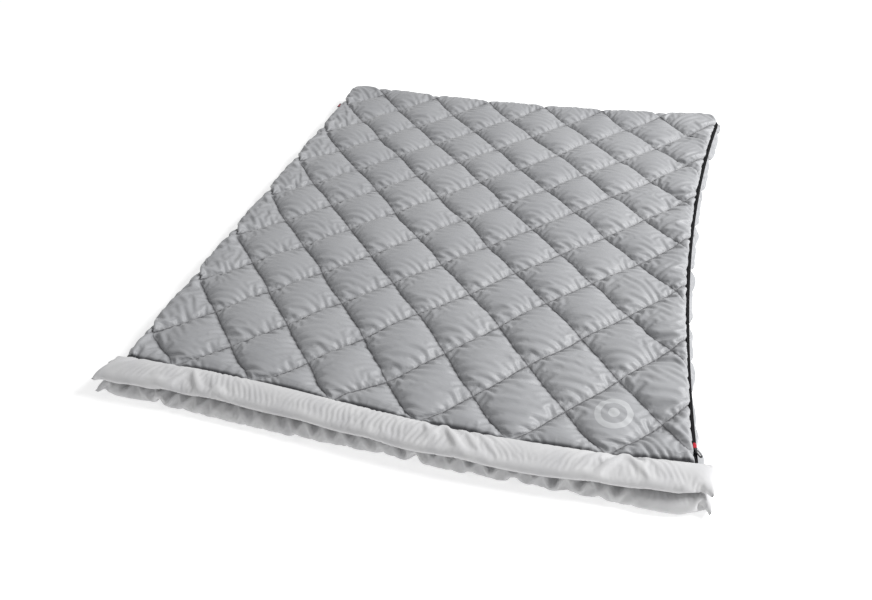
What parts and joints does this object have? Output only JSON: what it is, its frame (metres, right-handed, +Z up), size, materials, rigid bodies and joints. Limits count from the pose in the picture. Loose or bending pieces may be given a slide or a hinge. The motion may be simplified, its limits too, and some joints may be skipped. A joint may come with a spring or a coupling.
{
  "type": "double sleeping bag",
  "caption": "Rectangular double sleeping bag of diamond-quilted cloth, closed and flat, with soft head hems, a side zip with slider and pull, and an upper quilt that folds open.",
  "frame": {"origin": "on the floor under the middle of the bag's box", "axes": "+X to the side with the zip, +Y to the closed foot, +Z up, so the open head end faces -Y"},
  "size_m": [1.676, 2.108, 0.1],
  "materials": {
    "shell_cloth": "satin polyester, fine plain weave",
    "liner_cloth": "brushed matt polyester",
    "batting": "loose polyester wadding",
    "zip_tape": "matt woven tape",
    "zip_coil": "nylon coil",
    "zip_metal": "black enamel on die-cast zinc",
    "slider_plastic": "moulded, glossy red",
    "pull_plastic": "moulded, satin black",
    "pull_insert": "moulded, pale grey",
    "piping": "shell cloth over a cord",
    "label": "woven ribbon with dark ends"
  },
  "bodies": {
    "lower_quilt": {"lower_shell": "shell_cloth", "lower_fill": "batting", "lower_liner": "liner_cloth", "lower_hem_band": "liner_cloth", "lower_hem_corner": "liner_cloth", "lower_zip_tape": "zip_tape", "lower_zip_coil": "zip_coil", "lower_top_stop": "zip_metal", "zip_bottom_box": "zip_metal", "side_seam_piping": "piping", "side_label": "label"},
    "upper_quilt": {"upper_shell": "shell_cloth", "upper_fill": "batting", "upper_liner": "liner_cloth", "upper_hem_band": "liner_cloth", "upper_hem_corner": "liner_cloth", "upper_zip_tape": "zip_tape", "upper_zip_coil": "zip_coil", "upper_top_stop": "zip_metal", "zip_insertion_pin": "zip_metal", "draft_tube": "liner_cloth"},
    "zip_slider": {"slider_body": "zip_metal", "slider_plough": "slider_plastic", "pull_pin": "zip_metal"},
    "zip_pull": {"pull_tab": "pull_plastic", "pull_insert": "pull_insert"}
  },
  "joints": [
    {"name": "upper_quilt_opening", "type": "hinge", "parent": "lower_quilt", "child": "upper_quilt", "pos_m": [-0.795, 0, 0.05], "axis": [0, -1, 0], "range_deg": [0, 180], "deforming": ["lower_hem_corner", "upper_hem_corner", "side_label"]},
    {"name": "zip_slider_travel", "type": "hinge", "parent": "lower_quilt", "child": "zip_slider", "pos_m": [8.36191, -0.02707, 0.05], "axis": [0, 0, -1], "range_deg": [0, 13.5]},
    {"name": "pull_tab_flip", "type": "hinge", "parent": "zip_slider", "child": "zip_pull", "pos_m": [0.79334, -0.85427, 0.0574], "axis": [-0.8209, -0.5711, 0], "range_deg": [0, 110]}
  ]
}
